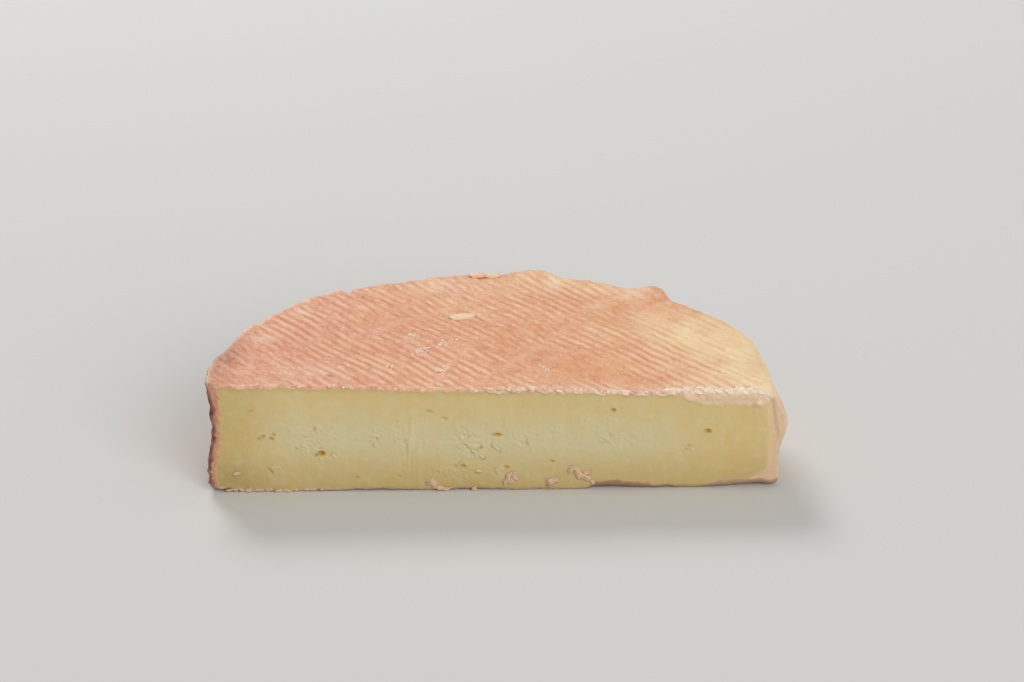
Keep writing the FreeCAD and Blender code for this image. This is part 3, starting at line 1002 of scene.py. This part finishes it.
def cheese_material(name, glow):
    """Rind and paste in one, told apart by the facts on the points. Glow is the share of light inside."""
    g = Graph(name)
    broad, blotch = g.grain(9.0, 3.0), g.grain(3.2, 3.0, seed=2.0)
    fine, speck = g.grain(1.2, 3.0, seed=3.0), g.grain(0.5, 2.0, seed=7.0)

    # rind: orange-salmon, rosier to the left, creamy to the right, with pale bloom and red grooves; the
    # grooves' red is partly painted shade, the pale crests are partly painted highlight, and a pale line
    # along the left of the rim edge is painted rim light
    rind = g.mix(g.step(broad, 0.35, 0.65), srgb(221, 155, 108), srgb(227, 167, 121))
    rind = g.tint(rind, "rosy", 0.85, 217, 146, 112)
    rind = g.tint(rind, "orange", 0.6, 225, 153, 98)
    rind = g.tint(rind, "cream", 0.9, 247, 223, 172)
    rind = g.mix(g.step(blotch, 0.48, 0.72, 0.0, 0.45), rind, srgb(234, 184, 144))
    ruddier = g.step(g.fact("cream"), 0.0, 1.0, 1.0, 0.15)
    rind = g.mix(g.times(g.step(blotch, 0.32, 0.5, 0.5, 0.0), ruddier), rind, srgb(207, 124, 82))
    # the grooves' red: partly the rind's own colour, partly painted shade
    groove = g.times(g.fact("groove"), g.step(fine, 0.3, 0.6, 0.55, 1.0))
    groove_red_and_painted_shade = g.mix(g.fact("rosy"), srgb(203, 124, 74), srgb(194, 106, 70))
    groove_red_and_painted_shade = g.mix(g.fact("cream"), groove_red_and_painted_shade, srgb(222, 170, 112))
    rind = g.mix(g.times(groove, 0.78, clamp=True), rind, groove_red_and_painted_shade)
    # pale crests: partly bloom, partly painted highlight
    rind = g.tint(rind, "crest_bloom_and_painted_highlight", 0.52, 241, 199, 158)
    rind = g.tint(rind, "ruddy", 0.42, 206, 120, 76)
    rind = g.tint(rind, "band", 0.85, 209, 176, 148)
    # pale: bloom and pale crumbs, with the painted rim light along the left of the rim edge
    bloom_and_painted_rim_light = g.times(g.fact("pale"), g.step(fine, 0.3, 0.6, 0.6, 1.0))
    rind = g.mix(bloom_and_painted_rim_light, rind, srgb(246, 227, 206))
    # white: white lumps, partly real and partly painted glints
    rind = g.tint(rind, "white_and_glint", 0.9, 252, 242, 228)
    plain = g.math("MAXIMUM", g.fact("band"), g.fact("white_and_glint"))
    spots = g.step(plain, 0.0, 1.0, 1.0, 0.15)
    bright = g.times(g.step(speck, 0.6, 0.7, 0.0, 0.65), spots)
    dark = g.times(g.times(g.step(speck, 0.28, 0.42, 0.5, 0.0), spots), ruddier)
    rind = g.mix(bright, rind, srgb(250, 222, 196))
    rind = g.mix(dark, rind, srgb(188, 98, 62))
    rind = g.mix(g.step(fine, 0.52, 0.72, 0.0, 0.3), rind, srgb(242, 208, 172))
    # dark red-brown: dirt and dark rind, with painted shade near the rim's ends and in the right band's
    # crease
    rind = g.tint(rind, "dirt_and_painted_shade", 0.92, 98, 44, 34)

    # paste: pale yellow, chalkier in the middle, ochre in the holes, warmer next to the rind, with painted
    # shade towards its left end and the floor
    cloud = g.grain(7.0, 3.0, stretch=(0.7, 1.0, 1.6), seed=11.0)
    streak = g.grain(0.9, 2.0, stretch=(1.0, 1.0, 0.12), seed=5.0)
    paste = g.mix(g.step(cloud, 0.35, 0.65), srgb(210, 182, 120), srgb(209, 187, 130))
    chalk = g.times(g.fact("chalk"), g.step(cloud, 0.3, 0.6, 0.8, 1.0), clamp=True)
    paste = g.mix(chalk, paste, srgb(206, 194, 152))
    # warm tone next to the rind, and painted shade to the left and low down
    paste = g.tint(paste, "flush_and_painted_shade", 0.85, 174, 151, 92)
    paste = g.mix(g.step(blotch, 0.5, 0.72, 0.0, 0.18), paste, srgb(222, 210, 172))
    paste = g.mix(g.step(streak, 0.4, 0.75, 0.0, 0.12), paste, srgb(226, 216, 180))
    paste = g.tint(paste, "stain", 0.9, 186, 150, 44)
    colour = g.mix(g.fact("rind"), paste, rind)

    # surface
    height = g.math("ADD", fine, g.times(speck, 0.25))
    height = g.math("ADD", height, g.times(blotch, 0.8))
    coarse = g.times(g.fact("rind"), g.step(g.fact("band"), 0.0, 1.0, 1.0, 0.3))
    height = g.times(height, g.step(coarse, 0.0, 1.0, 0.22, 1.0))
    bump = g.add("ShaderNodeBump", {"Height": height, "Strength": 1.0, "Distance": GRAIN_HEIGHT * MM})
    rough_paste, rough_rind = g.step(fine, 0.3, 0.7, 0.46, 0.58), g.step(speck, 0.3, 0.7, 0.4, 0.62)
    rough = g.mix_number(g.fact("rind"), rough_paste, rough_rind)
    rough = g.math("SUBTRACT", rough, g.scaled("wet", 0.22))
    shader = g.add("ShaderNodeBsdfPrincipled", {
        "Base Color": colour, "Roughness": rough, "Normal": bump, "IOR": 1.42,
        "Subsurface Weight": glow, "Subsurface Radius": (1.0, 0.55, 0.3), "Subsurface Scale": 1.5 * MM})
    g.finish(shader)
    return g.material


# ---- stage, light and camera
def stage():
    g = Graph("floor_grey")
    matt = {"Base Color": srgb(214, 213, 210), "Roughness": 1.0, "Specular IOR Level": 0.0}
    g.finish(g.add("ShaderNodeBsdfPrincipled", matt))
    mesh = bpy.data.meshes.new("floor")
    reach, low = 6.0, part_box("half_wheel")[0].z
    mesh.from_pydata([(-reach, -reach, low), (reach, -reach, low), (reach, reach, low), (-reach, reach, low)],
                     [], [(0, 1, 2, 3)])
    mesh.materials.append(g.material)
    put("floor", mesh)


def soft_light(name, spot, size, power):
    light = bpy.data.lights.new(name, "AREA")
    light.shape = "DISK"
    light.size = size
    light.energy = power
    lamp = put(name, light)
    lamp.location = spot
    lamp.rotation_euler = (Vector(LIT_SPOT) - Vector(spot)).to_track_quat("-Z", "Y").to_euler()


def light_up():
    world = bpy.data.worlds.new("studio")
    world.use_nodes = True
    sky = world.node_tree.nodes["Background"].inputs
    sky["Color"].default_value = (1.0, 1.0, 1.0, 1.0)
    sky["Strength"].default_value = WORLD_LIGHT
    bpy.context.scene.world = world
    soft_light("key", *KEY)
    soft_light("fill", *FILL)


def place_camera():
    """The camera stands in front of the cut, a little to the right, and looks down on it."""
    pitch, yaw, roll = [math.radians(turn) for turn in CAMERA_TURNS]
    forward = Vector((math.sin(yaw) * math.cos(pitch), math.cos(yaw) * math.cos(pitch), -math.sin(pitch)))
    level = forward.cross(Vector((0.0, 0.0, 1.0))).normalized()
    upward = level.cross(forward)
    right = math.cos(roll) * level + math.sin(roll) * upward
    upward = math.cos(roll) * upward - math.sin(roll) * level
    camera = bpy.data.cameras.new("camera")
    camera.sensor_width = 36.0
    camera.lens = LENS
    eye = put("camera", camera)
    spot = to_frame([CAMERA_SPOT])[0]
    eye.matrix_world = Matrix.Translation(spot) @ Matrix((right, upward, -forward)).transposed().to_4x4()
    bpy.context.scene.camera = eye


body, strip = build_body()
points, know = relief(body, strip)
body.points = points
body_normals = body.normals("rim", "top", "base", "band", "paste")
skin = [body.faces["skin"], body.faces["skin_end"]]
inside_out = [faces[:, ::-1] for faces in skin]
rind_faces = [body.faces[name] for name in ("rim", "top", "base", "band")]
cheese = cheese_material("washed_rind", GLOW)
rind = make_piece("rind", points, rind_faces + skin, cheese, know, body_normals)
pale_paste = cheese_material("pale_paste", GLOW)
paste_faces = [body.faces["paste"]] + inside_out
paste = make_piece("paste", points, paste_faces, pale_paste, know, body_normals)
crumble(cheese_material("rind_bits", 0.0), cheese_material("paste_bits", 0.0))
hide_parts("half_wheel")
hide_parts("half_wheel")

stage()
light_up()
place_camera()
bpy.context.scene.view_settings.view_transform = "Standard"
